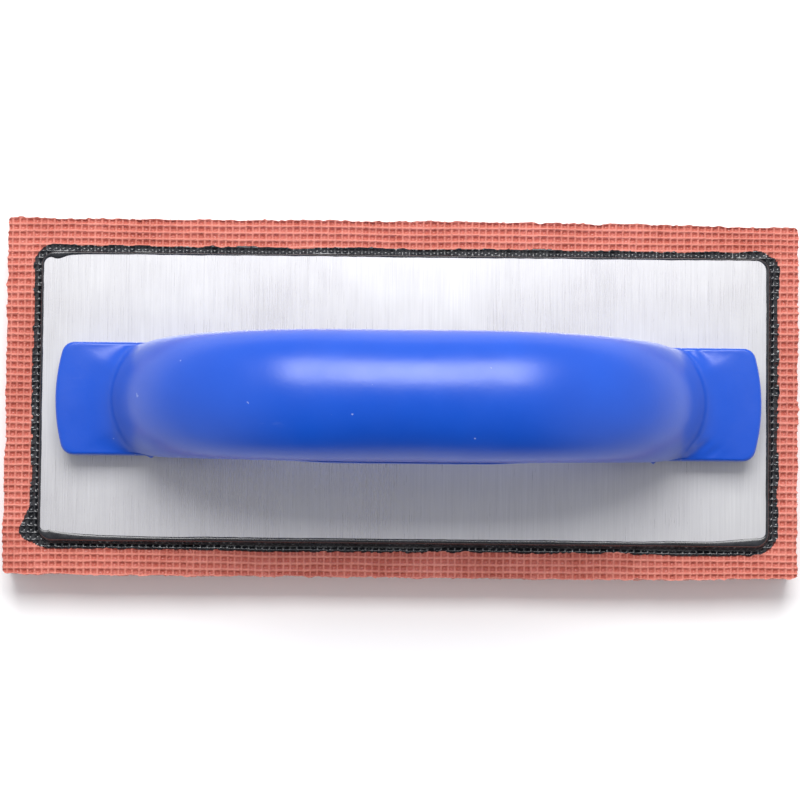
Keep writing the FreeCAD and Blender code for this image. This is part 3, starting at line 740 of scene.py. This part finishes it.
HALF_DEEP = [12.4, 12.2, 12.2, 12.4, 12.8, 13.4, 14.4, 15.0]
SEAM_ANGLE = math.atan(SEAM_LIFT / HALF_WIDE[-1])


def both_ways(half, mirror=None):
    """A list along half the handle, carried on to the other end. Places along it need the whole length."""
    back = half[-2::-1]
    return np.array(half + ([mirror - v for v in back] if mirror else back), float)


PATH_KNOTS = both_ways(HALF_KNOTS, 2 * PATH_HALF)
PATH_WIDE = both_ways(HALF_WIDE)
PATH_DEEP = both_ways(HALF_DEEP)
NIBS = ((11.5, 0.75), (2 * PATH_HALF - 20.0, 0.65))  # each one's place along the handle, and its size
# Each crease's place beyond the leg's centre and across it, its lean and its phase
CREASES = ((2.5, 14.0, 0.35, 1), (6.7, -12.0, -0.45, 2))


def path_centre(s):
    """Centre of the handle's section and the way out of it, in XZ, at a distance along it from the -X end."""
    side = np.where(s < PATH_HALF, -1.0, 1.0)
    s = np.minimum(s, 2 * PATH_HALF - s)
    on_leg = np.minimum(s, LEG_LENGTH)
    turn = LEG_LEAN + np.clip((s - LEG_LENGTH) / BEND_RADIUS, 0, math.pi / 2 - LEG_LEAN)
    flat = np.clip(s - LEG_LENGTH - BEND_LENGTH, 0, FLAT_HALF)
    x = LEG_REACH - on_leg * math.sin(LEG_LEAN) - flat
    x = x - BEND_RADIUS * (math.cos(LEG_LEAN) - np.cos(turn))
    z = on_leg * math.cos(LEG_LEAN) + BEND_RADIUS * (np.sin(turn) - math.sin(LEG_LEAN))
    tilt = np.where(s < LEG_LENGTH, LEG_LEAN * s / LEG_LENGTH, turn)
    return side * x, z, side * np.cos(tilt), np.sin(tilt)


def ellipse_reach(theta, wide, deep):
    """Distance from an ellipse's centre to its edge. Theta is measured from its shallow way."""
    return wide * deep / np.sqrt((deep * np.sin(theta)) ** 2 + (wide * np.cos(theta)) ** 2)


def arc_points(centre, radius, start, end):
    """Points on an arc, with angles in degrees."""
    angles = np.radians(np.linspace(start, end, 12))
    return [(centre[0] + radius * math.cos(a), centre[1] + radius * math.sin(a)) for a in angles]


def foot_reach_curve():
    """Angle and distance of the foot's outline from the leg's centre, from the outer end to the toe."""
    end_centre = FOOT_REACH - FOOT_END_RADIUS
    inner_radius = FOOT_END_RADIUS - FOOT_OUTER_CORNER
    corner_y = FOOT_HALF_WIDE - FOOT_OUTER_CORNER
    corner_x = end_centre + math.sqrt(inner_radius**2 - corner_y**2)
    meet = math.degrees(math.atan2(corner_y, corner_x - end_centre))
    outline = arc_points((end_centre, 0), FOOT_END_RADIUS, 0, meet)
    outline += arc_points((corner_x, corner_y), FOOT_OUTER_CORNER, meet, 90)
    toe_x = FOOT_INNER_CORNER - FOOT_TOE
    outline += [(x, FOOT_HALF_WIDE) for x in np.linspace(corner_x, toe_x, 60)]
    outline += arc_points((toe_x, FOOT_HALF_WIDE - FOOT_INNER_CORNER), FOOT_INNER_CORNER, 90, 180)
    outline += [(-FOOT_TOE, y) for y in np.linspace(FOOT_HALF_WIDE - FOOT_INNER_CORNER, 0, 12)]
    outline = np.array(outline)
    return np.arctan2(outline[:, 1], outline[:, 0]), np.hypot(outline[:, 0], outline[:, 1])


def foot_side_rows(edge, away, rim):
    """Rows of points from the plate up the foot's side and round its rim."""
    rows = [edge + (0, 0, 1) * ((FOOT_HIGH - rim) * t)[:, None] for t in FOOT_SIDE_SHARES]
    for angle in RIM_ANGLES:
        back = rim * (1 - math.cos(angle))
        high = FOOT_HIGH - rim * (1 - math.sin(angle))
        rows.append(edge - away * back[:, None] + (0, 0, 1) * high[:, None])
    return rows


def flank_rows(start, top, theta):
    """Rows of points over the foot and up its hollow flank, which ends at a place along the leg."""
    leg = along_leg(top, theta)
    upwards = along_leg(top + 0.5, theta) - leg
    upwards = upwards / np.linalg.norm(upwards, axis=1, keepdims=True)
    inwards = (leg - start) * (1, 1, 0)
    rise = (leg - start)[:, 2:]
    first = start + inwards * FLANK_FLAT
    second = leg - upwards * rise * FLANK_STEEP
    rows = []
    for t in np.linspace(0, 1, 22):
        curve = start * (1 - t) ** 3 + first * 3 * t * (1 - t) ** 2 + second * 3 * t * t * (1 - t)
        rows.append(curve + leg * t**3)
    return rows


def foot_rows(theta):
    """Rows of points from the plate up the foot's side, in over its top, and up the leg."""
    angles, reaches = foot_reach_curve()
    foot = np.interp(abs(np.arctan2(np.sin(theta), np.cos(theta))), angles, reaches)
    top = FLANK_MIDDLE - FLANK_SWING * np.cos(theta)
    away = np.stack([np.cos(theta), np.sin(theta), 0 * theta], -1)
    edge = np.array([LEG_REACH, 0, 0]) + foot[:, None] * away
    width = np.hypot(*(along_leg(top, theta) - edge)[:, :2].T)
    rim = np.minimum(FOOT_RIM, RIM_SHARE * width)
    rows = foot_side_rows(edge, away, rim)
    rows += flank_rows(edge - away * rim[:, None] + (0, 0, FOOT_HIGH), top, theta)
    for t in np.linspace(0, 1, 12)[1:]:
        rows.append(along_leg(top * (1 - t) + FOOT_TOP * t, theta))
    return rows


def along_leg(s, theta):
    """Points on the right leg, each at its own place along it."""
    each = np.arange(len(theta))
    return swept_points(s, theta)[each, each] * (-1, 1, 1)


def swept_points(s, theta, inset=0.0):
    """A grid of points on the bar: a row for each place s along it."""
    x, z, out_x, out_z = path_centre(s)
    wide = through(PATH_KNOTS, PATH_WIDE, s) - inset
    deep = through(PATH_KNOTS, PATH_DEEP, s) - inset
    reach = ellipse_reach(theta[None, :], wide[:, None], deep[:, None])
    away = reach * np.cos(theta)
    across = np.broadcast_to(reach * np.sin(theta), reach.shape)
    return np.stack([x[:, None] + away * out_x[:, None], across, z[:, None] + away * out_z[:, None]], -1)


def shell_grid(theta):
    """Outer and inner faces of one shell, foot to foot, as grids of points."""
    foot = np.array(foot_rows(theta)) * (-1, 1, 1)
    s = np.linspace(FOOT_TOP, 2 * PATH_HALF - FOOT_TOP, BAR_ROWS)[1:-1]
    outer = np.concatenate([foot, swept_points(s, theta), foot[::-1] * (-1, 1, 1)])
    climb = np.maximum.accumulate(foot[:, 0, 2])
    climb = climb * FOOT_TOP / climb[-1]
    along = np.concatenate([climb, s, 2 * PATH_HALF - climb[::-1]])
    return outer, swept_points(along, theta, WALL), along


def add_seam_groove(outer):
    """Draws in the shell's two long edges, so that a fine groove runs along the seam."""
    for edge in (0, -1):
        outer[:, edge, 1] -= np.sign(outer[:, edge, 1]) * SEAM_GROOVE


def add_seam_step(outer, along):
    """Lets the lower shell stand out a little on the -Y side, with a nib of flash at the foot of each leg."""
    x = outer[:, :, 0]
    front = ease((-outer[:, :, 1] - STEP_START) / STEP_FADE)
    middle = ease((FLAT_HALF + STEP_PAST_FLAT - abs(x)) / STEP_END_FADE) * (outer[:, :, 2] > LEG_TOP_Z)
    outer[:, :, 1] -= SEAM_STEP * front * middle
    edge = np.zeros(outer.shape[1])
    edge[:3] = NIB_SHAPE
    edge[-3:] = NIB_SHAPE[::-1]
    for place, size in NIBS:
        nib = size * bump(along - place, NIB_LONG)
        outer[:, :, 1] -= nib[:, None] * edge * (outer[:, :, 1] < 0)


def add_creases(outer):
    """Faint pulls in the plastic round the right leg, where it runs into the foot."""
    x, y, z = np.moveaxis(outer, -1, 0)
    for beyond, across, lean, phase in CREASES:
        near = bump(y - across, 2.6) * bump(x - LEG_REACH - beyond, 5.5) * bump(z - 13, 8)
        fold = np.sin((x - LEG_REACH) * 1.3 + (y - across) * lean * 3 + phase)
        outer[:, :, 2] += 0.22 * near * fold
        outer[:, :, 0] += 0.12 * near * fold


def make_shell(name, node, low_angle, high_angle, material, is_lower):
    """A closed shell from its outer and inner faces, with flat edges along the seam and on the plate."""
    span = np.linspace(low_angle + 2 * SEAM_EDGE, high_angle - 2 * SEAM_EDGE, SECTION_POINTS)
    theta = np.concatenate([[low_angle, low_angle + SEAM_EDGE], span, [high_angle - SEAM_EDGE, high_angle]])
    outer, inner, along = shell_grid(theta)
    add_seam_groove(outer)
    if is_lower:
        add_seam_step(outer, along)
    else:
        add_creases(outer)
    rows, columns = outer.shape[:2]
    points = np.concatenate([outer.reshape(-1, 3), inner.reshape(-1, 3)])
    points += (*HANDLE_MIDDLE, PLATE_TOP)
    count = rows * columns
    outside = grid_faces(rows, columns)
    rim = border(rows, columns)
    loop = rim[:, 0] * columns + rim[:, 1]
    faces = np.concatenate([outside, outside[:, ::-1] + count]).tolist()
    faces += band(loop + count, loop)
    if not is_lower:
        faces = [f[::-1] for f in faces]
    shell = make_mesh(name, points, faces, 42, material)
    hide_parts(node)


# ---- set: floor, lamp, room and camera ----

# The room: dim towards the -Y side, brighter overhead and at the ends, brightest towards the +Y side
DIM_WALL = (0.09, 0.091, 0.095)
LOW_WALL = (0.24, 0.242, 0.25)
TOP_WALL = (0.36, 0.362, 0.38)
BACK_WALL = (0.74, 0.75, 0.80)
END_WALL = (0.82, 0.825, 0.85)

# The floor, the lamp and the camera, with places and sizes in metres and angles in degrees
FLOOR_HALF = 6.0
FLOOR_DROP = 0.0002
SOFTBOX_PLACE = (0.0, 0.545, 0.88)
SOFTBOX_TARGET = (0, 0, 0.04)
SOFTBOX_SIZE = (0.64, 0.55)
SOFTBOX_POWER = 12.4  # watts
CAMERA_ELEVATION = 87.5
CAMERA_DISTANCE = 0.700
CAMERA_ROLL = 0.59
CAMERA_TARGET = (-0.0005, -0.0003, 0.016)
LENS = 109.4  # millimetres, as is the sensor
SENSOR_WIDTH = 36


def make_floor():
    """A plain pale sheet for the float to lie on."""
    material, tree, shader = new_material("floor", Roughness=0.9, Specular_IOR_Level=0.1)
    tone = noise_texture(tree, 3, 2)
    tree.links.new(ramp(tree, tone, (0.3, 0.94), (0.7, 0.955)), shader.inputs["Base Color"])
    mesh = bpy.data.meshes.new("floor")
    corners = [(x * FLOOR_HALF, y * FLOOR_HALF, 0) for x, y in ((-1, -1), (1, -1), (1, 1), (-1, 1))]
    mesh.from_pydata(corners, [], [(0, 1, 2, 3)])
    mesh.materials.append(material)
    floor = bpy.data.objects.new("floor", mesh)
    floor.location.z = -FLOOR_DROP
    bpy.context.scene.collection.objects.link(floor)


def add_softbox():
    """A broad lamp above the +Y side, turned to the handle."""
    lamp = bpy.data.lights.new("main_softbox", "AREA")
    lamp.shape = "RECTANGLE"
    lamp.size, lamp.size_y = SOFTBOX_SIZE
    lamp.energy = SOFTBOX_POWER
    item = bpy.data.objects.new("main_softbox", lamp)
    bpy.context.scene.collection.objects.link(item)
    item.location = SOFTBOX_PLACE
    direction = Vector(SOFTBOX_TARGET) - Vector(SOFTBOX_PLACE)
    item.rotation_euler = direction.to_track_quat("-Z", "Y").to_euler()


def light_set():
    """One softbox, in a pale room that is dimmer towards the -Y side."""
    add_softbox()
    world = bpy.data.worlds.new("room")
    bpy.context.scene.world = world
    world.use_nodes = True
    tree = world.node_tree
    place = add_node(tree, "ShaderNodeTexCoord").outputs["Generated"]
    parts = add_node(tree, "ShaderNodeSeparateXYZ", {"Vector": place}).outputs
    share = add_node(tree, "ShaderNodeMapRange", {"Value": parts["Y"], "From Min": -1.0, "From Max": 1.0})
    walls = ramp(
        tree, share.outputs["Result"], (0.08, DIM_WALL), (0.29, LOW_WALL), (0.5, TOP_WALL), (0.92, BACK_WALL)
    )
    beside = add_node(tree, "ShaderNodeMath", {0: parts["X"]}, operation="ABSOLUTE").outputs["Value"]
    walls = mix(tree, ramp(tree, beside, (0.25, 0.0), (0.65, 1.0)), walls, END_WALL)
    background = tree.nodes["Background"]
    tree.links.new(walls, background.inputs["Color"])


def add_camera():
    """Nearly overhead, a little towards the -Y side, with the picture rolled slightly clockwise."""
    camera = bpy.data.cameras.new("camera")
    camera.lens = LENS
    camera.sensor_width = SENSOR_WIDTH
    item = bpy.data.objects.new("camera", camera)
    bpy.context.scene.collection.objects.link(item)
    rise = math.radians(CAMERA_ELEVATION)
    away = Vector((0, -math.cos(rise), math.sin(rise)))
    item.location = Vector(CAMERA_TARGET) + away * CAMERA_DISTANCE
    tilt = Matrix.Rotation(math.pi / 2 - rise, 4, "X")
    roll = Matrix.Rotation(math.radians(CAMERA_ROLL), 4, "Z")
    item.rotation_euler = (tilt @ roll).to_euler()
    bpy.context.scene.camera = item


# ---- put together ----

sponge = sponge_rubber()
plastic = blue_plastic()
make_pad(sponge)
make_coat(black_cement("brushed_cement", 0.17, 0.00006))
make_bead(black_cement("smoothed_cement", 0.26, 0.00001))
seam = math.pi / 2 - SEAM_ANGLE
make_shell("handle_outer_shell", "handle_upper_shell", -seam, seam, plastic, False)
make_shell("handle_inner_shell", "handle_lower_shell", seam, 2 * math.pi - seam, plastic, True)

metals = {"backing_plate": (aluminium_sheet(), "aluminium_sheet")}
steel = zinc_steel()
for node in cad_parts:
    if node.startswith("screw"):
        metals[node] = (steel, "zinc_steel")
for node, (material, slot_name) in metals.items():
    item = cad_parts[node]
    item.data.materials.clear()
    item.data.materials.append(material)

make_floor()
light_set()
add_camera()
bpy.context.scene.view_settings.view_transform = "Standard"
